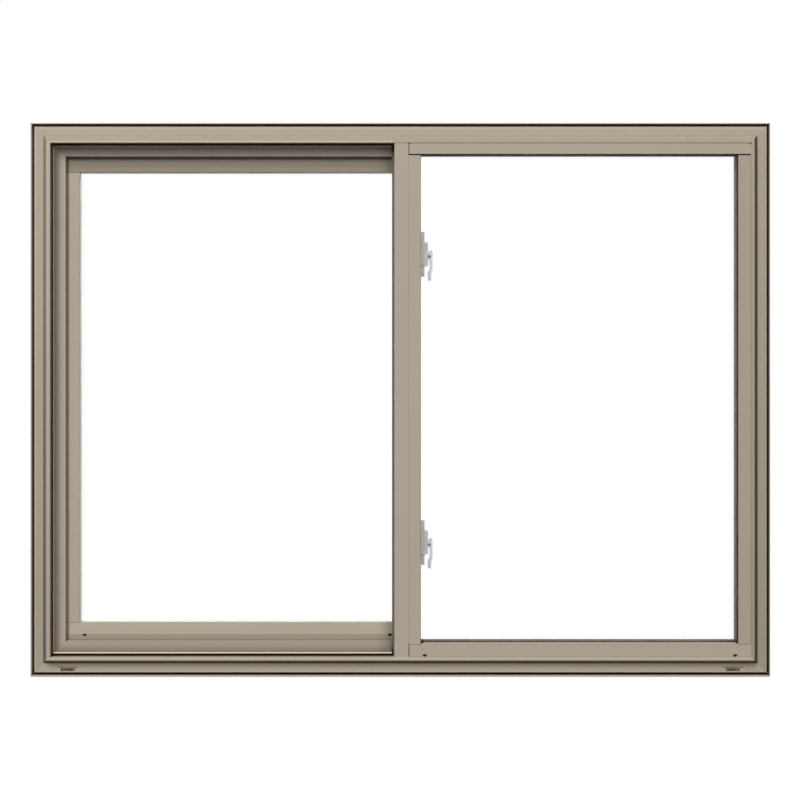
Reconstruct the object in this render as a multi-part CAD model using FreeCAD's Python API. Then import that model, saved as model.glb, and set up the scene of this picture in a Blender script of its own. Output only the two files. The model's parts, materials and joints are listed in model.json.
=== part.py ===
import FreeCAD, Part
import os

os.makedirs("parts", exist_ok=True)

Vector = FreeCAD.Vector

# Horizontal sliding window, seen from outside: the left sash slides behind the fixed
# right one. X runs to the right, Y towards the room and Z up. The origin is on the
# sill's underside, at mid width and mid depth. In each section w runs inwards from the
# edge it belongs to, and v runs from the exterior nose plane towards the room.

# Overall size
width = 1209.7
height = 906.1
depth = 82.5

# Frame section
margin = {"head": 7.2, "sill": 8.8, "left": 8.05, "right": 8.05}
fin_thick = {"head": 1.4, "sill": 3.1, "left": 1.9, "right": 1.2}
fin_front = 17.0
perimeter_groove_back = 44.0
face_edge = {"head": -1.9, "sill": -1.9, "left": -2.5, "right": -3.3}
face_front = 19.0
slope_start = 14.1
slope_groove = (0.8, 0.5)
nose_start = 20.6
nose_end = {"head": 27.9, "sill": 25.9, "left": 27.5, "right": 26.3}
soft_edge = 0.6
divider_reach = 40.0
divider_front = 35.0
divider_back = 37.5
track_floor = 20.0
leg_front = 77.5
leg_reach = {"head": 38.4, "sill": 44.2, "left": 38.9, "right": 38.9}
leg_edge = 1.2
mitre_outside = 20.0
mitre_inside = 60.0

# Screen track in front of the sliding sash
screen_fin = {"head": (30.4, 31.9), "sill": (30.4, 32.8), "left": (29.6, 31.0)}
screen_fin_front = 12.0
screen_groove_back = 31.0
screen_cove_back = 30.0
screen_reach = {"head": 45.3, "sill": 49.4, "left": 46.5}
screen_end_x = -14.1

# Meeting post and its interlock
post_x = (-9.6, 13.35)
interlock_leg_x = (-13.6, -9.6)
interlock_leg_front = 30.0
hook_tip = (38.0, 39.4)
hook_tip_end_x = -4.0
sash_hook_tip = (35.8, 37.2)
sash_hook_leg_x = (-2.0, 0.0)
sash_hook_tip_x = -8.0
post_corner_r = 1.0
hook_z = (52.2, 855.2)
sash_hook_short = 2.0

# Fixed sash, set in the outer track
fixed_front = 0.8
fixed_outer = {"left": 13.35, "right": 570.5, "sill": 34.7, "head": 871.0}
fixed_face = {"left": 19.25, "right": 20.3, "sill": 24.1, "head": 17.4}
fixed_bevel = 0.4
fixed_lip_depth = 11.2
fixed_bead_depth = 5.0
fixed_bead_below_lip = 0.0
fixed_joint = (2.2, 3.7)
rail_gap = 1.2
rail_chamfer_run = 6.5

# Sliding sash, in the inner track
sash_front = 41.5
sash_outer = {"left": -566.75, "right": 34.0, "sill": 40.2, "head": 866.9}
sash_face = {"left": 37.2, "right": 44.0, "sill": 45.6, "head": 37.3}
sash_bevel = 0.4
sash_lip_depth = 6.0
sash_bead_depth = 9.0
sash_bead_below_lip = 3.3
sash_joint = (0.0, 0.0)

# Glazing, the same in both sashes
pane = 3.0
air_gap = 12.0
glass_bite = 11.0
bead_chamfer = 2.0
spacer_inset = 2.5

# Drainage
weep_slot = (7.0, 4.2)
weep_depth = 20.0
sash_weeps = ((-521.3, 65.2), (-17.0, 65.2))
fixed_weeps = ((39.8, 37.6), (544.9, 37.6))
cover_x = 544.6
flap_z = (8.9, 14.6)
flap_width = 23.0
flap_lean = (2.5, 5.0)
flap_pocket_depth = 7.0
flap_pivot_x = 9.6
flap_pivot_z = 10.6
flap_pivot_r = 1.1
bar_z = (14.6, 16.6)
bar_width = 33.0
bar_front = 2.0
bar_pocket_depth = 3.5
drain_slot = (14.0, 2.0)
drain_depth = 12.0

# Rollers and their rail
track_v = 58.0
rail_base = (12.0, 1.5)
rail_rib = 2.4
rail_top = 35.2
rail_half_length = 562.0
roller_gap = 0.3
roller_groove_r = 9.0
roller_r = 11.5
roller_width = 7.0
roller_groove_side = 0.4
roller_flange = 1.0
channel_width = 19.0
channel_top = 58.2
carriage_length = 52.0
carriage_width = 17.0
carriage_wall = 2.4
carriage_top = 2.0
carriage_bottom = 41.2
axle_r = 2.5
axle_clearance = 0.05
roller_x = (-500.0, -30.0)

# Locks on the side of the sliding sash
lock_z = {"upper": 694.7, "lower": 216.8}
plate_size = (6.0, 24.0, 73.0)
plate_v = 46.0
plate_end_r = 5.0
lock_screw_r = 2.0
lock_screw_spacing = 56.0
housing_size = (6.0, 18.0, 39.0)
housing_v = 51.0
housing_round = 2.2
housing_floor = 1.0
pocket_width = 9.8
pocket_z = (-4.5, 12.0)
pivot_drop = 4.0
pivot_x = 48.5
pin_r = 1.5
pin_clearance = 0.05
pin_recess = (2.3, 1.0)
lug_r = 2.6
lug_width = 3.8
lug_clearance = 0.1
lever_gap = 0.4
lever_v = (55.5, 64.5)

# Stops, seals and fixings
stop_x = (534.5, 549.5)
stop_v = (44.0, 51.5)
stop_height = {"sill": 21.0, "head": 17.0}
pile_width = 5.0
pile_thick = 2.6
pile_w = {"head": 31.0, "sill": 33.0, "left": 31.0}
pile_x = (-555.0, 555.0)
pile_z = (50.0, 850.0)
keeper_x = (2.0, 12.0)
keeper_height = 60.0
keeper_thick = 1.2
keeper_slot = (4.0, 22.0)
pull_x = (-547.0, -537.0)
pull_z = (332.0, 574.0)
pull_depth = 7.0
pull_hollow_r = 5.0
pull_hollow_place = (-2.0, 1.0)
screw_v = 58.0
screw_r = 2.5
jamb_screw_z = (153.05, 753.05)
head_screw_x = (-300.0, 300.0)
corner_notch = (2.6, 2.0, 8.0)


class Edge:
    """One side of a rectangular frame. A section in (w, v) runs along it."""

    def __init__(self, outer, inward, run, start, end):
        self.outer = outer
        self.inward = inward
        self.run = run
        self.start = start
        self.end = end

    def point(self, w, v, along):
        return self.outer + self.inward * w + Vector(0, v, 0) + self.run * along

    def prism(self, outline, start, end):
        """Solid of a section between two places along the edge."""
        return extruded(outline, lambda w, v: self.point(w, v, start), self.run * (end - start))

    def mitre(self):
        """Wedge that cuts the member at 45 degrees at both ends."""
        corners = [
            (-mitre_outside, self.start - mitre_outside),
            (-mitre_outside, self.end + mitre_outside),
            (mitre_inside, self.end - mitre_inside),
            (mitre_inside, self.start + mitre_inside),
        ]
        return extruded(corners, lambda w, along: self.point(w, 0, along), Vector(0, depth, 0))


def extruded(outline, place, direction):
    """Prism of an outline. A point of four numbers is reached by an arc through its first two."""
    edges = []
    here = place(*outline[0])
    for target in outline[1:] + [outline[0]]:
        there = place(*target[-2:])
        if len(target) == 4:
            edges.append(Part.Arc(here, place(*target[:2]), there).toShape())
        elif there.distanceToPoint(here) > 1e-6:
            edges.append(Part.LineSegment(here, there).toShape())
        here = there
    solid = Part.Face(Part.Wire(edges)).extrude(direction)
    if solid.Volume < 0:
        solid.reverse()
    return solid


def edges_of(outer):
    """The four edges of a rectangle given by its outer lines."""
    x0, x1, z0, z1 = outer["left"], outer["right"], outer["sill"], outer["head"]
    front = -depth / 2
    return {
        "sill": Edge(Vector(0, front, z0), Vector(0, 0, 1), Vector(1, 0, 0), x0, x1),
        "head": Edge(Vector(0, front, z1), Vector(0, 0, -1), Vector(1, 0, 0), x0, x1),
        "left": Edge(Vector(x0, front, 0), Vector(1, 0, 0), Vector(0, 0, 1), z0, z1),
        "right": Edge(Vector(x1, front, 0), Vector(-1, 0, 0), Vector(0, 0, 1), z0, z1),
    }


def box(x, v, z):
    """Box between pairs of limits in x, v and z."""
    corner = Vector(x[0], v[0] - depth / 2, z[0])
    return Part.makeBox(x[1] - x[0], v[1] - v[0], z[1] - z[0], corner)


def cylinder(radius, length, x, v, z, direction):
    return Part.makeCylinder(radius, length, Vector(x, v - depth / 2, z), direction)


def level_slot(x, z, size, v, length):
    """Slot with round ends, level, cut from v towards the room."""
    half = (size[0] - size[1]) / 2
    r = size[1] / 2
    outline = [(x - half, z - r), (x + half, z - r), (x + half + r, z, x + half, z + r)]
    outline += [(x - half, z + r), (x - half - r, z, x - half, z - r)]
    front = v - depth / 2
    return extruded(outline, lambda a, b: Vector(a, front, b), Vector(0, length, 0))


def save(name, *solids):
    """Write one node. Several solids in it don't touch."""
    shape = solids[0] if len(solids) == 1 else Part.makeCompound(list(solids))
    shape.exportStep("parts/" + name + ".step")


frame_edges = edges_of({
    "left": -width / 2 + margin["left"],
    "right": width / 2 - margin["right"],
    "sill": margin["sill"],
    "head": height - margin["head"],
})
fixed_edges = edges_of(fixed_outer)
sash_edges = edges_of(sash_outer)


# Frame

def frame_outline(side):
    """Frame section: fin, groove, front face, slope, nose, two tracks and interior leg."""
    out = -margin[side]
    fin = out + fin_thick[side]
    edge = face_edge[side]
    nose = nose_end[side]
    slope = slope_start
    groove_width, groove_depth = slope_groove
    reach = leg_reach[side]
    return [
        (out, fin_front),
        (fin, fin_front),
        (fin, perimeter_groove_back),
        (edge, perimeter_groove_back),
        (edge, face_front + soft_edge),
        (edge + soft_edge, face_front),
        (slope - groove_width, face_front),
        (slope - groove_width, face_front + groove_depth),
        (slope, face_front + groove_depth),
        (nose_start, soft_edge),
        (nose_start + soft_edge, 0),
        (nose - soft_edge, 0),
        (nose, soft_edge),
        (nose, divider_front),
        (divider_reach, divider_front),
        (divider_reach, divider_back),
        (track_floor, divider_back),
        (track_floor, leg_front),
        (reach, leg_front),
        (reach, depth - leg_edge),
        (reach - leg_edge, depth),
        (out, depth),
    ]


def frame_member(side):
    edge = frame_edges[side]
    far = mitre_outside
    blank = edge.prism(frame_outline(side), edge.start - far, edge.end + far)
    whole = box((-width / 2, width / 2), (0, depth), (0, height))
    return blank.common(edge.mitre()).common(whole)


def jamb(side):
    """Jamb with its two fixing holes."""
    member = frame_member(side)
    edge = frame_edges[side]
    for z in jamb_screw_z:
        hole = Part.makeCylinder(screw_r, 2 * depth, edge.point(-depth, screw_v, z), edge.inward)
        member = member.cut(hole)
    return member


def head():
    member = frame_member("head")
    for x in head_screw_x:
        member = member.cut(cylinder(screw_r, 2 * depth, x, screw_v, height - depth, Vector(0, 0, 1)))
    return member


def centred(x, size):
    return (x - size / 2, x + size / 2)


def beside(place, offsets):
    return (place + offsets[0], place + offsets[1])


def sill():
    """Sill with a T-shaped pocket and a drain slot for each weep cover."""
    member = frame_member("sill")
    for x in (-cover_x, cover_x):
        flap_pocket = box(centred(x, flap_width), (0, face_front + flap_pocket_depth), flap_z)
        bar_pocket = box(centred(x, bar_width), (0, face_front + bar_pocket_depth), bar_z)
        drain = level_slot(x, flap_pivot_z, drain_slot, face_front, flap_pocket_depth + drain_depth)
        member = member.cut([flap_pocket, bar_pocket, drain])
    return member


def weep_cover(x):
    """Flap that leans back towards its foot, under a bar, with a pivot hole at each end."""
    lean_top, lean_foot = face_front + flap_lean[0], face_front + flap_lean[1]
    back = face_front + flap_pocket_depth
    profile = [(flap_z[0], lean_foot), (flap_z[1], lean_top), (flap_z[1], back), (flap_z[0], back)]
    start, end = centred(x, flap_width)
    flap = extruded(profile, lambda z, v: Vector(start, v - depth / 2, z), Vector(end - start, 0, 0))
    bar = box(centred(x, bar_width), (face_front + bar_front, face_front + bar_pocket_depth), bar_z)
    cover = flap.fuse(bar)
    holes = [level_slot(x, flap_pivot_z, drain_slot, face_front, flap_pocket_depth + 1)]
    for side in (-1, 1):
        holes.append(cylinder(flap_pivot_r, back, x + side * flap_pivot_x, 0, flap_pivot_z, Vector(0, 1, 0)))
    return cover.cut(holes)


def screen_outline(side):
    """Screen track section: deep groove, thin fin and a cove that sweeps out to the sash."""
    reach = screen_reach[side]
    nose = nose_end[side]
    fin_low, fin_high = screen_fin[side]
    radius = reach - fin_high
    cove_front = screen_cove_back - radius
    half_way = radius * 0.5 ** 0.5
    return [
        (nose, screen_groove_back),
        (fin_low, screen_groove_back),
        (fin_low, screen_fin_front),
        (fin_high, screen_fin_front),
        (fin_high, cove_front),
        (reach - half_way, cove_front + half_way, reach, screen_cove_back),
        (reach, divider_front),
        (nose, divider_front),
    ]


def screen_track(side):
    edge = frame_edges[side]
    member = edge.prism(screen_outline(side), edge.start, edge.end).common(edge.mitre())
    return member.common(box((-width, screen_end_x), (0, depth), (0, height)))


def track_rail():
    """Rail for the rollers: a flat base with a round-topped rib."""
    half_base = rail_base[0] / 2
    half_rib = rail_rib / 2
    base_top = margin["sill"] + track_floor + rail_base[1]
    floor = margin["sill"] + track_floor
    outline = [
        (-half_base, floor),
        (half_base, floor),
        (half_base, base_top),
        (half_rib, base_top),
        (half_rib, rail_top - half_rib),
        (0, rail_top, -half_rib, rail_top - half_rib),
        (-half_rib, base_top),
        (-half_base, base_top),
    ]
    start = Vector(-rail_half_length, track_v - depth / 2, 0)
    length = Vector(2 * rail_half_length, 0, 0)
    return extruded(outline, lambda across, z: start + Vector(0, across, z), length)


save("frame_head", head())
save("frame_sill", sill())
save("frame_left_jamb", jamb("left"))
save("frame_right_jamb", jamb("right"))
save("weep_cover_left", weep_cover(-cover_x))
save("weep_cover_right", weep_cover(cover_x))
save("screen_track_head", screen_track("head"))
save("screen_track_sill", screen_track("sill"))
save("screen_track_jamb", screen_track("left"))
save("sill_track_rail", track_rail())


# Sash members, glass and beads

class Sash:
    """A glazed rectangle whose rails run through over its stiles.

    The joint is the gap above each stile and the drop of its foot into the bottom rail.
    """

    def __init__(self, edges, face, bevel, front, lip_depth, bead_depth, bead_below_lip, joint):
        self.edges = edges
        self.joint = joint
        self.bevel = bevel
        self.front = front
        self.face = face
        self.lip = {side: face[side] + bevel for side in face}
        self.wall = {side: self.lip[side] - glass_bite for side in face}
        self.bead = {side: self.lip[side] - bead_below_lip for side in face}
        self.rebate = front + lip_depth
        self.glass_back = self.rebate + 2 * pane + air_gap
        self.back = self.glass_back + bead_depth

    def lip_outline(self, side):
        face, lip = self.face[side], self.lip[side]
        return [
            (0, self.front + soft_edge),
            (soft_edge, self.front),
            (face, self.front),
            (lip, self.front + self.bevel),
            (lip, self.rebate),
            (0, self.rebate),
        ]

    def wall_outline(self, side):
        wall = self.wall[side]
        return [
            (0, self.rebate),
            (wall, self.rebate),
            (wall, self.back),
            (soft_edge, self.back),
            (0, self.back - soft_edge),
        ]

    def rail(self, side):
        edge = self.edges[side]
        outline = self.lip_outline(side)[:-1] + self.wall_outline(side)[1:]
        return edge.prism(outline, edge.start, edge.end)

    def stile(self, side):
        """Stile coped round the lips and walls of both rails."""
        edge = self.edges[side]
        low, high = edge.start, edge.end
        gap, drop = self.joint
        lip_foot = low + self.lip["sill"] - drop
        lip_top = high - self.lip["head"] - gap
        wall_foot = low + self.wall["sill"]
        wall_top = high - self.wall["head"]
        lip = edge.prism(self.lip_outline(side), lip_foot, lip_top)
        wall = edge.prism(self.wall_outline(side), wall_foot, wall_top)
        return lip.fuse(wall).removeSplitter()

    def clear(self, inset):
        """Limits in x and z of the opening inside the given insets."""
        left = self.edges["left"].outer.x + inset["left"]
        right = self.edges["right"].outer.x - inset["right"]
        low = self.edges["sill"].outer.z + inset["sill"]
        high = self.edges["head"].outer.z - inset["head"]
        return (left, right), (low, high)

    def glass(self, front):
        x, z = self.clear(self.wall)
        return box(x, (front, front + pane), z)

    def spacer(self):
        """Bar between the panes, flush with the lips' inner edges."""
        x, z = self.clear(self.wall)
        v = (self.rebate + pane, self.rebate + pane + air_gap)
        ring = box(shrunk(x, spacer_inset), v, shrunk(z, spacer_inset))
        return ring.cut(box(shrunk(x, glass_bite), v, shrunk(z, glass_bite)))

    def bead_outline(self, side):
        wall, bead = self.wall[side], self.bead[side]
        return [
            (wall, self.glass_back),
            (bead, self.glass_back),
            (bead, self.back - bead_chamfer),
            (bead - bead_chamfer, self.back),
            (wall, self.back),
        ]

    def level_bead(self, side):
        x, z = self.clear(self.wall)
        return self.edges[side].prism(self.bead_outline(side), x[0], x[1])

    def upright_bead(self, side):
        x, z = self.clear(self.bead)
        return self.edges[side].prism(self.bead_outline(side), z[0], z[1])

    def save_glazing(self, prefix):
        save(prefix + "_outer_glass", self.glass(self.rebate))
        save(prefix + "_glass_spacer", self.spacer())
        save(prefix + "_inner_glass", self.glass(self.glass_back - pane))
        save(prefix + "_level_beads", self.level_bead("sill"), self.level_bead("head"))
        save(prefix + "_upright_beads", self.upright_bead("left"), self.upright_bead("right"))


def shrunk(limits, amount):
    return (limits[0] + amount, limits[1] - amount)


def weeped(member, places, front):
    for x, z in places:
        member = member.cut(level_slot(x, z, weep_slot, front - 1, weep_depth + 1))
    return member


# Fixed sash

fixed = Sash(
    edges=fixed_edges,
    face=fixed_face,
    bevel=fixed_bevel,
    front=fixed_front,
    lip_depth=fixed_lip_depth,
    bead_depth=fixed_bead_depth,
    bead_below_lip=fixed_bead_below_lip,
    joint=fixed_joint,
)


def fixed_rail(side):
    """Rail whose front stands a little clear of the meeting post."""
    x0 = fixed_outer["left"]
    gap = box((x0, x0 + rail_gap), (0, fixed.rebate), (0, height))
    return fixed.rail(side).cut(gap)


def fixed_bottom_rail():
    """Bottom rail with weeps, let in for the stiles' feet and chamfered beside them."""
    member = weeped(fixed_rail("sill"), fixed_weeps, fixed_front)
    top = fixed_outer["sill"] + fixed.lip["sill"]
    low = top - fixed_joint[1]
    front = Vector(0, fixed.rebate, 0)
    for side, inwards in (("left", 1), ("right", -1)):
        outer = fixed_outer[side]
        inner = outer + inwards * fixed.lip[side]
        cope = [(outer, low), (inner, low), (inner + inwards * rail_chamfer_run, top), (outer, top)]
        member = member.cut(extruded(cope, lambda x, z: Vector(x, -depth / 2, z), front))
    return member


def fixed_top_rail():
    """Top rail with a small relief notch at each upper front corner."""
    member = fixed_rail("head")
    x0, x1 = fixed_outer["left"], fixed_outer["right"]
    z1 = fixed_outer["head"]
    for x in ((x0, x0 + corner_notch[0]), (x1 - corner_notch[0], x1)):
        v = (fixed_front, fixed_front + corner_notch[2])
        member = member.cut(box(x, v, (z1 - corner_notch[1], z1)))
    return member


def meeting_post():
    """Full-height post, rounded at its exposed corner, with two keeper recesses."""
    z = (fixed_outer["sill"], fixed_outer["head"])
    post = box(post_x, (fixed_front, fixed.back), z)
    corner = [e for e in post.Edges if is_upright(e, post_x[0], fixed_front)]
    post = post.makeFillet(post_corner_r, corner)
    for centre in lock_z.values():
        post = post.cut(keeper_blank(centre))
    return post


def is_upright(edge, x, v):
    a = edge.Vertexes[0].Point
    b = edge.Vertexes[-1].Point
    upright = abs(a.x - b.x) < 1e-6 and abs(a.y - b.y) < 1e-6
    return upright and abs(a.x - x) < 1e-6 and abs(a.y + depth / 2 - v) < 1e-6


def keeper_blank(centre):
    z = (centre - keeper_height / 2, centre + keeper_height / 2)
    return box(keeper_x, (fixed.back - keeper_thick, fixed.back), z)


def keeper(centre):
    """Flush strike plate with one slot."""
    middle = (keeper_x[0] + keeper_x[1]) / 2
    half_w, half_h = keeper_slot[0] / 2, keeper_slot[1] / 2
    slot = box((middle - half_w, middle + half_w), (0, depth), (centre - half_h, centre + half_h))
    return keeper_blank(centre).cut(slot)


def fixed_interlock():
    """Hook strip: a leg down the post's left side and a tip turned back to the right."""
    z = (fixed_outer["sill"], fixed_outer["head"])
    leg = box(interlock_leg_x, (interlock_leg_front, fixed.back), z)
    deep_leg = box(interlock_leg_x, (fixed.back, hook_tip[1]), hook_z)
    tip = box((interlock_leg_x[1], hook_tip_end_x), hook_tip, hook_z)
    return leg.fuse([deep_leg, tip]).removeSplitter()


save("fixed_top_rail", fixed_top_rail())
save("fixed_bottom_rail", fixed_bottom_rail())
save("fixed_right_stile", fixed.stile("right"))
save("fixed_meeting_stile", fixed.stile("left"))
save("fixed_meeting_post", meeting_post())
save("fixed_interlock", fixed_interlock())
save("lock_keepers", *[keeper(centre) for centre in lock_z.values()])
fixed.save_glazing("fixed")


# Sliding sash

sash = Sash(
    edges=sash_edges,
    face=sash_face,
    bevel=sash_bevel,
    front=sash_front,
    lip_depth=sash_lip_depth,
    bead_depth=sash_bead_depth,
    bead_below_lip=sash_bead_below_lip,
    joint=sash_joint,
)
axle_z = rail_top + roller_gap + roller_groove_r


def sash_bottom_rail():
    """Bottom rail with its weeps and the roller channel along its underside."""
    member = weeped(sash.rail("sill"), sash_weeps, sash_front)
    half = channel_width / 2
    channel = box((-width, width), (track_v - half, track_v + half), (0, channel_top))
    return member.cut(channel)


def pull():
    """Finger pull on the room side, hollowed along its inner face."""
    v = (sash.back, sash.back + pull_depth)
    grip = box(pull_x, v, pull_z)
    across, deeper = pull_hollow_place
    x = pull_x[0] + across
    middle = sum(v) / 2 + deeper
    length = pull_z[1] - pull_z[0]
    return grip.cut(cylinder(pull_hollow_r, length, x, middle, pull_z[0], Vector(0, 0, 1)))


def sash_interlock():
    """Hook strip on the sash, whose tip seats inside the fixed one."""
    z = shrunk(hook_z, sash_hook_short)
    leg = box(sash_hook_leg_x, (sash_hook_tip[0], sash_front), z)
    tip = box((sash_hook_tip_x, sash_hook_leg_x[0]), sash_hook_tip, z)
    return leg.fuse(tip).removeSplitter()


def carriage(x):
    """Roller carriage: a channel that hangs in the rail, with its axle."""
    half = carriage_width / 2
    length = (x - carriage_length / 2, x + carriage_length / 2)
    body = box(length, (track_v - half, track_v + half), (carriage_bottom, channel_top))
    inner = half - carriage_wall
    hollow = box(length, (track_v - inner, track_v + inner), (0, channel_top - carriage_top))
    body = body.cut(hollow)
    axle = cylinder(axle_r, carriage_width, x, track_v - half, axle_z, Vector(0, 1, 0))
    return body.fuse(axle)


def roller(x):
    """Grooved wheel, revolved about its axle."""
    half = roller_width / 2
    bore = axle_r + axle_clearance
    groove = rail_rib / 2 + roller_groove_side
    flange = half - roller_flange
    outline = [
        (bore, -half),
        (roller_r, -half),
        (roller_r, -flange),
        (roller_groove_r, -groove),
        (roller_groove_r, groove),
        (roller_r, flange),
        (roller_r, half),
        (bore, half),
    ]
    points = [Vector(x + r, track_v - depth / 2 + across, axle_z) for r, across in outline]
    face = Part.Face(Part.makePolygon(points + points[:1]))
    wheel = face.revolve(Vector(x, 0, axle_z), Vector(0, 1, 0), 360)
    if wheel.Volume < 0:
        wheel.reverse()
    return wheel


save("sash_top_rail", sash.rail("head"))
save("sash_bottom_rail", sash_bottom_rail())
save("sash_left_stile", sash.stile("left").fuse(pull()).removeSplitter())
save("sash_meeting_stile", sash.stile("right"))
save("sash_interlock", sash_interlock())
sash.save_glazing("sash")
save("roller_carriages", *[carriage(x) for x in roller_x])
save("roller_wheels", *[roller(x) for x in roller_x])


# Locks

lock_x = sash_outer["right"]


def lock_plate(centre):
    """Flat plate with round corners and two screw holes."""
    v = (plate_v, plate_v + plate_size[1])
    z = (centre - plate_size[2] / 2, centre + plate_size[2] / 2)
    plate = box((lock_x, lock_x + plate_size[0]), v, z)
    corners = [e for e in plate.Edges if abs(e.Vertexes[0].X - e.Vertexes[-1].X) > plate_size[0] / 2]
    plate = plate.makeFillet(plate_end_r, corners)
    middle = plate_v + plate_size[1] / 2
    for screw_z in centred(centre, lock_screw_spacing):
        hole = cylinder(lock_screw_r, plate_size[0], lock_x, middle, screw_z, Vector(1, 0, 0))
        plate = plate.cut(hole)
    return plate


def lock_housing(centre):
    """Raised housing with rounded edges. A lug in its pocket carries the lever's pin."""
    face = lock_x + plate_size[0]
    pivot_z = centre - pivot_drop
    v = (housing_v, housing_v + housing_size[1])
    z = (centre - housing_size[2] / 2, centre + housing_size[2] / 2)
    body = box((face, face + housing_size[0]), v, z)
    outer = [e for e in body.Edges if min(e.Vertexes[0].X, e.Vertexes[-1].X) > face + 1]
    body = body.makeFillet(housing_round, outer)
    floor = face + housing_floor
    middle = sum(lever_v) / 2
    pocket = box((floor, width), centred(middle, pocket_width), beside(pivot_z, pocket_z))
    outline = [
        (floor - housing_floor / 2, pivot_z - lug_r),
        (pivot_x, pivot_z - lug_r),
        (pivot_x + lug_r, pivot_z, pivot_x, pivot_z + lug_r),
        (floor - housing_floor / 2, pivot_z + lug_r),
    ]
    start = middle - lug_width / 2 - depth / 2
    lug = extruded(outline, lambda x, height_z: Vector(x, start, height_z), Vector(0, lug_width, 0))
    bore = cylinder(pin_r + pin_clearance, depth, pivot_x, 0, pivot_z, Vector(0, 1, 0))
    return body.cut(pocket).fuse(lug.cut(bore)).removeSplitter()


def lever(centre):
    """Bent lever: a forked head on a cross pin, a neck and a thick tip to pull."""
    pivot_z = centre - pivot_drop
    near = lock_x + plate_size[0] + housing_size[0] + lever_gap
    outline = [
        (0.2, 7.5),
        (2.0, 10.5),
        (5.6, 10.5),
        (7.2, 9.0),
        (7.2, -19.0),
        (6.9, -22.8, 5.3, -25.8),
        (4.8, -38.3),
        (2.4, -39.7),
        (-0.6, -38.4),
        (-1.2, -27.0),
        (-0.3, -24.2, 1.3, -22.4),
        (2.0, -19.6, 2.1, -17.0),
        (2.1, -5.5),
        (0.2, -3.6),
    ]
    start = Vector(near, lever_v[0] - depth / 2, pivot_z)
    breadth = Vector(0, lever_v[1] - lever_v[0], 0)
    arm = extruded(outline, lambda a, z: start + Vector(a, 0, z), breadth)
    fork = centred(sum(lever_v) / 2, lug_width + 2 * lug_clearance)
    arm = arm.cut(box((near - 1, width), fork, beside(pivot_z, pocket_z)))
    radius, recess = pin_recess
    for v in (lever_v[0] - 1, lever_v[1] - recess):
        arm = arm.cut(cylinder(radius, recess + 1, pivot_x, v, pivot_z, Vector(0, 1, 0)))
    length = lever_v[1] - lever_v[0] - 2 * recess
    return arm.fuse(cylinder(pin_r, length, pivot_x, lever_v[0] + recess, pivot_z, Vector(0, 1, 0)))


for name, centre in lock_z.items():
    save(name + "_lock_plate", lock_plate(centre))
    save(name + "_lock_housing", lock_housing(centre))
    save(name + "_lock_lever", lever(centre))


# Stops and seals

def stops():
    """Open stops in the head and sill tracks, clear of the roller rail."""
    floor = margin["sill"] + track_floor
    ceiling = height - margin["head"] - track_floor
    low = box(stop_x, stop_v, (floor, floor + stop_height["sill"]))
    high = box(stop_x, stop_v, (ceiling - stop_height["head"], ceiling))
    return low, high


def pile(side, start, end):
    """Pile strip on the interior leg, just clear of the sash."""
    w = pile_w[side]
    outline = [
        (w, leg_front - pile_thick),
        (w + pile_width, leg_front - pile_thick),
        (w + pile_width, leg_front),
        (w, leg_front),
    ]
    return frame_edges[side].prism(outline, start, end)


save("open_stops", *stops())
save("pile_strips", pile("head", *pile_x), pile("sill", *pile_x), pile("left", *pile_z))
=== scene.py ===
import json
import math

import bpy
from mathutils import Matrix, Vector

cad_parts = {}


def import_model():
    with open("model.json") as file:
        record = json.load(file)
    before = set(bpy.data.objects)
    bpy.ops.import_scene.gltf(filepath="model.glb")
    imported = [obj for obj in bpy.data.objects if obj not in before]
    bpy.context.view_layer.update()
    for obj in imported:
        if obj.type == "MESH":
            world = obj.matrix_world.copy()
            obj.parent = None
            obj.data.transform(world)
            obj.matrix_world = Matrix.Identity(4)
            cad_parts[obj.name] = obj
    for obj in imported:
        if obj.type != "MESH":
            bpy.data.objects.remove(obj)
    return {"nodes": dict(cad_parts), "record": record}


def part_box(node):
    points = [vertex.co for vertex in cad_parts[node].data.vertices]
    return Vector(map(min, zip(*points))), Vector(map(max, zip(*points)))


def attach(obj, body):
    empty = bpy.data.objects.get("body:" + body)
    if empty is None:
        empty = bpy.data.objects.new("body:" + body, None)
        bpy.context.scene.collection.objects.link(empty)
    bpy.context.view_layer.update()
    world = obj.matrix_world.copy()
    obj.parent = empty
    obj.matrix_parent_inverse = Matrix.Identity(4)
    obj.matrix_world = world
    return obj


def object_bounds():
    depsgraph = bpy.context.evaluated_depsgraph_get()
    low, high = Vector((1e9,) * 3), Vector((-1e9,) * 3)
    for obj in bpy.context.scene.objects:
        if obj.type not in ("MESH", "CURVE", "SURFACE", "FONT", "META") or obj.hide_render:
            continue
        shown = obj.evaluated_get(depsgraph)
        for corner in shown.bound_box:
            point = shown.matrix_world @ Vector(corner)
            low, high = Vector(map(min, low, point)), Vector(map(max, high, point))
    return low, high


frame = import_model()
cad_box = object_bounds()

# Places in metres. Depth is measured from the exterior nose plane towards the room.
nose_y = cad_box[0][1]
low_z = cad_box[0][2]
high_z = cad_box[1][2]
middle_z = (low_z + high_z) / 2

# Camera: square on, level with the middle of the window
camera_distance = 2.7
camera_x = -0.0005
focal_pixels = 1660.8
image_pixels = 800
sensor = 36.0

# Tall soft lights, to the left and right of the camera and above it, and two like them behind
key_across = {"front": 3.1, "back": 5.3}
key_away = 8.4
key_above = {"front": 5.4, "back": 2.2}
key_size = (2.2, 6.4)
key_power = {
    ("front", "left"): 910,
    ("front", "right"): 304,
    ("back", "left"): 380,
    ("back", "right"): 520,
}

# Surroundings and floor
ambient_strength = 0.05
floor_reach = 3.0
floor_drop = 1.1
floor_grey = 0.4
floor_glow = 0.76

# Lever pins, near-black as painted shade of their recesses
pin_x = 0.0485
pin_below_top = 0.0105
pin_recess = 0.001
pin_head = 0.0006
pin_head_r = 0.0022
pin_sides = 32
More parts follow.
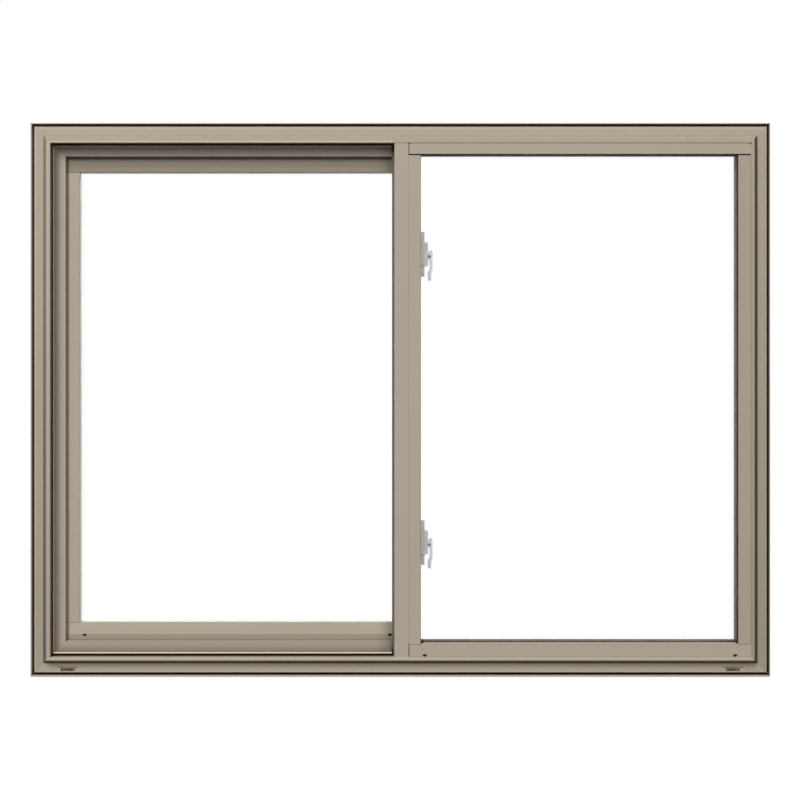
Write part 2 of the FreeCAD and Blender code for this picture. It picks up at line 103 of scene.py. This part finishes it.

# Glazing gaskets, dark as painted shade of the fixed sash's reveal: thickness and place in depth of the
# front and the back one
gasket_thick = 0.0007
gasket_sunk = 0.0005
front_gasket = (0.0020, 0.0118)
back_gasket = (0.0302, 0.0330)

# Hairline joints of the sashes
joint_width = 0.0007
joint_proud = 0.00012
joint_outer_gap = 0.001
joint_inner_gap = 0.0005
sash_stile_face = 0.0372
fixed_stile_face = 0.0185
fixed_joint_z = 0.0553
fixed_joint_start = 0.0137

# Surface patterns: scale per metre and detail of each, then what they do to tone and roughness.
# A relief is a strength and a height.
cloud = (7.0, 3.0)
die_lines = (900.0, 2.0)
grain = (2600.0, 1.0)
brush_strokes = (700.0, 3.0)
bristles = (2400.0, 2.0)
waves = (3.0, 1.0)
cloud_tones = (0.97, 1.03)
brush_tones = (0.9, 1.08)
die_line_gloss = 0.05
brush_gloss = 0.15
wave_gloss = 0.012
die_line_relief = (0.02, 0.0004)
bristle_relief = (0.6, 0.0006)
bristle_roughness = 0.95

# Die lines run along each extrusion: along X on level members and along Z on upright ones.
level_lines = (0.02, 1, 1)
upright_lines = (1, 1, 0.02)
unstretched = (1, 1, 1)
bristle_rows = (1, 0.2, 1)

# Colours, linear, and the glass's refraction
tan_colour = (0.41, 0.355, 0.279)
bristle_dark = (0.03, 0.03, 0.03)
bristle_light = (0.14, 0.14, 0.135)
glass_index = 1.5


def camera():
    data = bpy.data.cameras.new("camera")
    data.sensor_width = sensor
    data.lens = focal_pixels * sensor / image_pixels
    item = bpy.data.objects.new("camera", data)
    item.location = (camera_x, nose_y - camera_distance, middle_z)
    item.rotation_euler = (math.pi / 2, 0, 0)
    bpy.context.scene.collection.objects.link(item)
    bpy.context.scene.camera = item


# Materials

class Nodes:
    """The node tree of a material or a world, with short calls to add and join nodes."""

    def __init__(self, owner, output="ShaderNodeOutputMaterial"):
        self.owner = owner
        owner.use_nodes = True
        self.tree = owner.node_tree
        self.tree.nodes.clear()
        self.out = self.add(output)

    def add(self, kind, **settings):
        node = self.tree.nodes.new(kind)
        for key, value in settings.items():
            if key in node.inputs:
                node.inputs[key].default_value = value
            else:
                setattr(node, key, value)
        return node

    def link(self, source, target):
        self.tree.links.new(source, target)

    def finish(self, shader):
        self.link(shader.outputs[0], self.out.inputs["Surface"])
        return self.owner


def material_nodes(name):
    return Nodes(bpy.data.materials.new(name))


def stretched_noise(nodes, pattern, stretch=unstretched):
    """Noise in object space, drawn out along one axis by a small factor on it."""
    scale, detail = pattern
    place = nodes.add("ShaderNodeTexCoord")
    mapping = nodes.add("ShaderNodeMapping", Scale=stretch)
    noise = nodes.add("ShaderNodeTexNoise", Scale=scale, Detail=detail)
    nodes.link(place.outputs["Object"], mapping.inputs["Vector"])
    nodes.link(mapping.outputs[0], noise.inputs["Vector"])
    return noise.outputs["Fac"]


def blended(nodes, factor, low, high):
    """A colour between two, by a factor from 0 to 1."""
    mix = nodes.add("ShaderNodeMix", data_type="RGBA")
    mix.inputs["A"].default_value = (*low, 1)
    mix.inputs["B"].default_value = (*high, 1)
    nodes.link(factor, mix.inputs["Factor"])
    return mix.outputs["Result"]


def mapped(nodes, value, low, high, start=0.0, end=1.0):
    """A value that runs from low to high while the given one runs from start to end."""
    node = nodes.add("ShaderNodeMapRange")
    node.inputs["From Min"].default_value = start
    node.inputs["From Max"].default_value = end
    node.inputs["To Min"].default_value = low
    node.inputs["To Max"].default_value = high
    nodes.link(value, node.inputs["Value"])
    return node.outputs["Result"]


def combined(nodes, operation, first, second):
    node = nodes.add("ShaderNodeMath", operation=operation)
    nodes.link(first, node.inputs[0])
    nodes.link(second, node.inputs[1])
    return node.outputs[0]


def toned(nodes, colour, axis, places, tones, limits=()):
    """The colour times a tone that runs from the first to the second between two places.

    Each limit is an axis and a pair of places outside which the tone is left at 1.
    """
    place = nodes.add("ShaderNodeTexCoord")
    split = nodes.add("ShaderNodeSeparateXYZ")
    nodes.link(place.outputs["Object"], split.inputs[0])
    tone = mapped(nodes, split.outputs[axis], *tones, *places)
    for limit_axis, (low, high) in limits:
        inside = nodes.add("ShaderNodeMath", operation="COMPARE")
        nodes.link(split.outputs[limit_axis], inside.inputs[0])
        inside.inputs[1].default_value = (low + high) / 2
        inside.inputs[2].default_value = (high - low) / 2
        kept = nodes.add("ShaderNodeMapRange")
        kept.inputs["To Min"].default_value = 1.0
        nodes.link(inside.outputs[0], kept.inputs["Value"])
        nodes.link(tone, kept.inputs["To Max"])
        tone = kept.outputs["Result"]
    product = nodes.add("ShaderNodeVectorMath", operation="SCALE")
    nodes.link(colour, product.inputs[0])
    nodes.link(tone, product.inputs["Scale"])
    return product.outputs[0]


def scaled(colour, factor):
    return tuple(channel * factor for channel in colour)


def add_relief(nodes, height, relief_size, shader):
    strength, distance = relief_size
    relief = nodes.add("ShaderNodeBump", Strength=strength, Distance=distance)
    nodes.link(height, relief.inputs["Height"])
    nodes.link(relief.outputs[0], shader.inputs["Normal"])


def moulded(name, colour, roughness, stretch=unstretched, shine=0.1, steps=()):
    """Matt plastic: a faint cloudy tone, drawn-out die lines and a fine grain, and any tone steps,
    which carry painted shade and highlights.
    """
    nodes = material_nodes(name)
    shader = nodes.add("ShaderNodeBsdfPrincipled")
    shader.inputs["Specular IOR Level"].default_value = shine
    low, high = (scaled(colour, tone) for tone in cloud_tones)
    tone = blended(nodes, stretched_noise(nodes, cloud), low, high)
    for step in steps:
        tone = toned(nodes, tone, *step)
    nodes.link(tone, shader.inputs["Base Color"])
    lines = stretched_noise(nodes, die_lines, stretch)
    height = combined(nodes, "ADD", lines, stretched_noise(nodes, grain))
    gloss = mapped(nodes, lines, roughness - die_line_gloss, roughness + die_line_gloss)
    nodes.link(gloss, shader.inputs["Roughness"])
    add_relief(nodes, height, die_line_relief, shader)
    return nodes.finish(shader)


def metal(name, colour, roughness, stretch):
    """Brushed metal, with strokes in its tone and in its roughness."""
    nodes = material_nodes(name)
    shader = nodes.add("ShaderNodeBsdfPrincipled")
    shader.inputs["Metallic"].default_value = 1.0
    brush = stretched_noise(nodes, brush_strokes, stretch)
    low, high = (scaled(colour, tone) for tone in brush_tones)
    nodes.link(blended(nodes, brush, low, high), shader.inputs["Base Color"])
    gloss = mapped(nodes, brush, roughness, roughness + brush_gloss)
    nodes.link(gloss, shader.inputs["Roughness"])
    return nodes.finish(shader)


def clear_glass():
    """Clear float glass that lets light through to what stands behind it."""
    nodes = material_nodes("clear_glass")
    glass = nodes.add("ShaderNodeBsdfPrincipled")
    glass.inputs["Base Color"].default_value = (1, 1, 1, 1)
    glass.inputs["Transmission Weight"].default_value = 1.0
    glass.inputs["IOR"].default_value = glass_index
    gloss = mapped(nodes, stretched_noise(nodes, waves), 0.0, wave_gloss)
    nodes.link(gloss, glass.inputs["Roughness"])
    passing = nodes.add("ShaderNodeBsdfTransparent")
    path = nodes.add("ShaderNodeLightPath")
    lets_light = combined(
        nodes, "MAXIMUM", path.outputs["Is Shadow Ray"], path.outputs["Is Diffuse Ray"])
    mix = nodes.add("ShaderNodeMixShader")
    nodes.link(lets_light, mix.inputs[0])
    nodes.link(glass.outputs[0], mix.inputs[1])
    nodes.link(passing.outputs[0], mix.inputs[2])
    return nodes.finish(mix)


def pile_fabric():
    """Short woven pile: fine dark bristle rows."""
    nodes = material_nodes("pile_fabric")
    shader = nodes.add("ShaderNodeBsdfPrincipled", Roughness=bristle_roughness)
    bristle = stretched_noise(nodes, bristles, bristle_rows)
    tone = blended(nodes, bristle, bristle_dark, bristle_light)
    nodes.link(tone, shader.inputs["Base Color"])
    add_relief(nodes, bristle, bristle_relief, shader)
    return nodes.finish(shader)


# Tones and painted light
# Most steps are painted light: painted shade in creases, grooves, coves, under the head, near the post
# and on sides turned from the brighter lamp, and painted highlights on a few edges, a slope and a fin.
# A few steps only make a member or its front lighter.
# A span is an axis and two places along it. A node's tone is the product of its steps.

def depth(start, end):
    return ("Y", (nose_y + start, nose_y + end))


whole = ("Z", (low_z, high_z))


def ramp(span, tones, *limits):
    """A step whose tone runs from the first to the second along a span, within the limits."""
    return (*span, tones, limits)


def even(tone, *limits):
    """A step with one tone within the limits."""
    return ramp(whole, (tone, tone), *limits)


nose_depth = depth(-0.001, 0.0002)
slope_depth = depth(0.0003, 0.0200)
fin_depth = depth(0, 0.0124)
cove_depth = depth(0.0125, 0.060)
groove_depth = depth(0.0173, 0.046)
face_depth = depth(0.0186, 0.0202)
sash_front = depth(0.041, 0.0424)
down_slope = depth(0.002, 0.017)
towards_back = depth(0.025, 0.078)

head_slope = ("Z", (0.8783, 0.8858))
head_groove = ("Z", (0.9008, 0.9048))
head_wall = ("Z", (0.8704, 0.8713))
head_nose_edge = ("Z", (0.8726, 0.8743))
head_nose_length = ("X", (-0.571, -0.013))
head_face_edge = ("Z", (0.8967, 0.8986))
sill_slope = ("Z", (0.0222, 0.0293))
sill_groove = ("Z", (0.0030, 0.00692))
sill_wall = ("Z", (0.0344, 0.0352))
sill_left_end = ("X", (-0.6, -0.54))
sill_right_end = ("X", (0.54, 0.6))
left_slope = ("X", (-0.5849, -0.5763))
left_face_edge = ("X", (-0.5983, -0.5966))
left_wall = ("X", (-0.5697, -0.5689))
right_slope = ("X", (0.5763, 0.5847))
right_groove = ("X", (0.6001, 0.6037))
near_post = ("X", (-0.040, -0.014))
rail_lower_front = ("Z", (0.0660, 0.0672))
rail_foot = ("Z", (0.0578, 0.0596))
head_cove = ("Z", (0.8620, 0.8690))
sill_cove = ("Z", (0.0425, 0.0582))
weep_flap = ("Z", (0.0140, 0.0147))

weep_cover_tones = (ramp(weep_flap, (0.7, 0.95)),)
tones_and_painted_light_of_node = {
    # Head: painted highlight on the slope; painted shade in the groove and on the wall; painted
    # highlights along the nose's lower edge and the face's outer edge.
    "frame_head": (
        even(1.15, slope_depth, head_slope),
        even(0.6, groove_depth, head_groove),
        even(0.35, depth(0.0003, 0.030), head_wall),
        even(1.4, nose_depth, head_nose_edge, head_nose_length),
        even(1.2, face_depth, head_face_edge),
    ),
    # Sill: lighter at the front and on the nose; painted shade towards both ends of the face, on the
    # slope, in the groove and on the wall.
    "frame_sill": (
        ramp(towards_back, (1.12, 1)),
        ramp(sill_left_end, (0.87, 1), face_depth),
        ramp(sill_right_end, (1, 0.83), face_depth),
        even(1.05, nose_depth),
        ramp(down_slope, (0.42, 0.17), slope_depth, sill_slope),
        even(0.3, groove_depth, sill_groove),
        even(0.45, depth(0.011, 0.030), sill_wall),
    ),
    # Left jamb: darker towards the bottom as painted fall-off of the light; lighter towards the back
    # and on the nose; painted shade on the slope, darker towards the bottom and the foot, and on the
    # wall; painted highlight on the face's outer edge.
    "frame_left_jamb": (
        ramp(whole, (0.84, 1.02)),
        ramp(towards_back, (1, 1.08)),
        even(1.1, nose_depth),
        ramp(whole, (0.6, 1), slope_depth, left_slope),
        ramp(down_slope, (0.9, 0.7), slope_depth, left_slope),
        even(1.18, face_depth, left_face_edge),
        even(0.5, depth(0.005, 0.030), left_wall),
    ),
    # Right jamb: painted shade, darker overall and towards the bottom, on the slope and in the groove;
    # lighter towards the back.
    "frame_right_jamb": (
        ramp(whole, (0.77, 0.96)),
        ramp(towards_back, (1, 1.12)),
        ramp(down_slope, (0.7, 0.25), slope_depth, right_slope),
        even(0.5, groove_depth, right_groove),
    ),
    # Sliding sash's top rail: painted shade of the head above it, darker still near the post.
    "sash_top_rail": (
        even(0.71),
        ramp(near_post, (1, 0.72), sash_front),
    ),
    # Sliding sash's bottom rail: lighter overall; painted shade along its lower front, at its foot and
    # near the post.
    "sash_bottom_rail": (
        even(1.1),
        ramp(rail_lower_front, (0.77, 1), sash_front),
        ramp(rail_foot, (0.75, 1), sash_front),
        ramp(near_post, (1, 0.72), sash_front),
    ),
    # Fixed sash's right stile: painted shade, darker on the side away from the brighter lamp.
    "fixed_right_stile": (even(0.92),),
    # Head screen track: painted shade deep in the cove and near the post.
    "screen_track_head": (
        ramp(head_cove, (0.95, 0.4), cove_depth),
        ramp(near_post, (1, 0.7), cove_depth),
    ),
    # Sill screen track: painted shade in the cove and near the post; painted highlight on the fin.
    "screen_track_sill": (
        ramp(sill_cove, (0.58, 0.86), cove_depth),
        ramp(near_post, (1, 0.6), cove_depth),
        even(1.7, fin_depth),
    ),
    "weep_cover_left": weep_cover_tones,
    "weep_cover_right": weep_cover_tones,
}
# Painted shadow darkens the lock plates just below their housings.
lock_shade_low = (0.1946, 0.6725)
lock_shade_height = 0.0033
lock_shade = tuple(even(0.7, ("Z", (low, low + lock_shade_height))) for low in lock_shade_low)

slot_material = {
    "glass": clear_glass(),
    # Spacers: the pale one is partly painted light on the sliding sash's reveal; the dark brown one is
    # painted shade of the fixed sash's reveal.
    "spacer": moulded("spacer_pale_painted_light", (0.8, 0.79, 0.77), 0.5, upright_lines, shine=0.3),
    "spacer_dark": moulded("spacer_brown_painted_shade", (0.12, 0.092, 0.068), 0.7, upright_lines),
    "interlock": moulded("interlock_bronze", (0.155, 0.132, 0.107), 0.5, upright_lines),
    "track_metal": metal("track_aluminium", (0.6, 0.6, 0.6), 0.3, level_lines),
    "lock_plate": moulded("lock_plate_grey", (0.74, 0.74, 0.755), 0.4, shine=0.5, steps=lock_shade),
    "lock_body": moulded("lock_light_grey", (0.88, 0.87, 0.86), 0.35, shine=0.6),
    "lock_lever": moulded("lever_light_grey", (0.82, 0.81, 0.81), 0.35, shine=0.6),
    "lock_metal": metal("keeper_steel", (0.5, 0.5, 0.5), 0.3, upright_lines),
    "roller": moulded("roller_black", (0.02, 0.02, 0.02), 0.5),
    "rubber": moulded("stop_rubber", (0.016, 0.016, 0.016), 0.8),
    "pile": pile_fabric(),
}
# Near-black of the pin heads: painted shade of the recesses they sit in.
recess_painted_shade = moulded("pin_recess_painted_shade", (0.03, 0.03, 0.03), 0.5)
# Near-black brown of the glazing gaskets: painted shade of the fixed sash's reveal.
gasket_painted_shade = moulded("gasket_painted_shade", (0.034, 0.025, 0.018), 0.8, shine=0.05)
joint_brown = moulded("joint_brown", (0.16, 0.135, 0.105), 0.7)


def runs_upright(name):
    low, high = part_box(name)
    return high[2] - low[2] > high[0] - low[0]


tans = {}


def tan_for(name):
    """Tan vinyl with the node's direction and its tone steps of painted shade and highlights, made once
    for each kind.
    """
    upright = runs_upright(name)
    steps = tones_and_painted_light_of_node.get(name, ())
    kind = (upright, steps)
    if kind not in tans:
        title = "tan_vinyl_" + str(len(tans) + 1)
        lines = upright_lines if upright else level_lines
        tans[kind] = moulded(title, tan_colour, 0.5, lines, steps=steps)
    return tans[kind]


def dress_nodes():
    slots = {part["node"]: part["material_slot"] for part in frame["record"]["subparts"]}
    for name, item in frame["nodes"].items():
        material = slot_material.get(slots[name])
        item.data.materials.clear()
        item.data.materials.append(material or tan_for(name))


# Added pieces

def piece(name, points, faces, material, body):
    mesh = bpy.data.meshes.new(name)
    mesh.from_pydata(points, [], faces)
    mesh.materials.append(material)
    item = bpy.data.objects.new(name, mesh)
    bpy.context.scene.collection.objects.link(item)
    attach(item, body)


def ring(name, x, z, profile, material, body):
    """Frame with mitred corners: a profile of (inset, y) swept round a rectangle."""
    points = []
    for inset, y in profile:
        left, right = x[0] + inset, x[1] - inset
        low, high = z[0] + inset, z[1] - inset
        points += [(left, y, low), (right, y, low), (right, y, high), (left, y, high)]
    rows = len(profile)
    faces = []
    for row in range(rows):
        here = 4 * row
        after = 4 * ((row + 1) % rows)
        for corner in range(4):
            following = (corner + 1) % 4
            faces.append((here + corner, here + following, after + following, after + corner))
    piece(name, points, faces, material, body)


def gaskets():
    """Dark gaskets on the fixed sash's reveal, in front of and behind its glass; their dark colour is
    painted shade of the reveal.
    """
    x = (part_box("fixed_meeting_stile")[1][0] - gasket_sunk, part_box("fixed_right_stile")[0][0])
    z = (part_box("fixed_bottom_rail")[1][2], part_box("fixed_top_rail")[0][2] + gasket_sunk)
    for name, depths in (("gasket_front", front_gasket), ("gasket_back", back_gasket)):
        near, far = (nose_y + v for v in depths)
        soft = gasket_thick / 2
        profile = [(0, near), (soft, near), (gasket_thick, near + soft), (gasket_thick, far), (0, far)]
        ring(name, x, z, profile, gasket_painted_shade, "frame")


def joint_line(name, x, z, front, body):
    """Hairline between two members, as a thin raised strip on their front."""
    low, high = z - joint_width / 2, z + joint_width / 2
    points = [(a, front - y, b) for y in (0, joint_proud) for b in (low, high) for a in x]
    faces = [(0, 1, 3, 2), (4, 6, 7, 5), (0, 4, 5, 1), (2, 3, 7, 6), (0, 2, 6, 4), (1, 5, 7, 3)]
    piece(name, points, faces, joint_brown, body)


def joint_lines():
    """Joints of the sliding sash's left stile, and at the feet of the fixed sash's stiles."""
    left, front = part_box("sash_left_stile")[0][:2]
    x = (left + joint_outer_gap, left + sash_stile_face)
    joint_line("joint_low", x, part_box("sash_bottom_rail")[1][2], front, "sash")
    joint_line("joint_high", x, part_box("sash_top_rail")[0][2] - joint_width, front, "sash")
    left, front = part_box("fixed_right_stile")[0][:2]
    x = (left + joint_outer_gap, left + fixed_stile_face)
    joint_line("joint_fixed_right", x, fixed_joint_z, front, "frame")
    low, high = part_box("fixed_meeting_stile")
    x = (fixed_joint_start, high[0] - joint_inner_gap)
    joint_line("joint_fixed_left", x, fixed_joint_z, low[1], "frame")


def disc(name, centre, radius, thickness, material, body):
    """Short cylinder whose axis runs towards the room."""
    points = []
    for y in (centre[1], centre[1] + thickness):
        for step in range(pin_sides):
            turn = 2 * math.pi * step / pin_sides
            points.append((centre[0] + radius * math.cos(turn), y, centre[2] + radius * math.sin(turn)))
    faces = [tuple(range(pin_sides)), tuple(reversed(range(pin_sides, 2 * pin_sides)))]
    for step in range(pin_sides):
        after = (step + 1) % pin_sides
        faces.append((step, step + pin_sides, after + pin_sides, after))
    piece(name, points, faces, material, body)


def lever_pins():
    """Dark pin heads in the recess on each side of each lever's fork; their near-black is painted shade
    of the recess.
    """
    for side in ("upper", "lower"):
        low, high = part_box(side + "_lock_lever")
        for end, y in (("front", low[1] + pin_recess - pin_head), ("back", high[1] - pin_recess)):
            place = (pin_x, y, high[2] - pin_below_top)
            disc(side + "_pin_" + end, place, pin_head_r, pin_head, recess_painted_shade, side + "_lever")


# Light, floor and background

def key_lights():
    target = Vector((0, 0, middle_z))
    for (end, side), power in key_power.items():
        across = key_across[end] if side == "right" else -key_across[end]
        away = nose_y - key_away if end == "front" else key_away - nose_y
        place = Vector((across, away, middle_z + key_above[end]))
        name = "key_" + end + "_" + side
        data = bpy.data.lights.new(name, "AREA")
        data.shape = "RECTANGLE"
        data.size, data.size_y = key_size
        data.energy = power
        item = bpy.data.objects.new(name, data)
        item.location = place
        item.rotation_euler = (target - place).to_track_quat("-Z", "Y").to_euler()
        bpy.context.scene.collection.objects.link(item)


def seen_directly(nodes):
    """1 for rays that show the background: seen, mirrored or through glass."""
    path = nodes.add("ShaderNodeLightPath")
    seen = combined(nodes, "MAXIMUM", path.outputs["Is Camera Ray"], path.outputs["Is Glossy Ray"])
    return combined(nodes, "MAXIMUM", seen, path.outputs["Is Transmission Ray"])


def world():
    """White surroundings that give the window only a little even light."""
    nodes = Nodes(bpy.data.worlds.new("world"), "ShaderNodeOutputWorld")
    background = nodes.add("ShaderNodeBackground", Color=(1, 1, 1, 1))
    strength = mapped(nodes, seen_directly(nodes), ambient_strength, 1.0)
    nodes.link(strength, background.inputs["Strength"])
    bpy.context.scene.world = nodes.finish(background)


def floor():
    """Pale floor well below the window, white where it is seen and keeping its shadow."""
    reach = floor_reach
    mesh = bpy.data.meshes.new("floor")
    corners = [(-reach, -reach, 0), (reach, -reach, 0), (reach, reach, 0), (-reach, reach, 0)]
    mesh.from_pydata(corners, [], [(0, 1, 2, 3)])
    item = bpy.data.objects.new("floor", mesh)
    item.location = (0, 0, low_z - floor_drop)
    bpy.context.scene.collection.objects.link(item)
    nodes = material_nodes("floor")
    lit = nodes.add("ShaderNodeBsdfDiffuse", Color=(floor_grey, floor_grey, floor_grey, 1))
    glow = nodes.add("ShaderNodeEmission")
    nodes.link(mapped(nodes, seen_directly(nodes), 0.0, floor_glow), glow.inputs["Strength"])
    total = nodes.add("ShaderNodeAddShader")
    nodes.link(lit.outputs[0], total.inputs[0])
    nodes.link(glow.outputs[0], total.inputs[1])
    mesh.materials.append(nodes.finish(total))


camera()
dress_nodes()
lever_pins()
gaskets()
joint_lines()
floor()
world()
key_lights()
bpy.context.scene.view_settings.view_transform = "Standard"
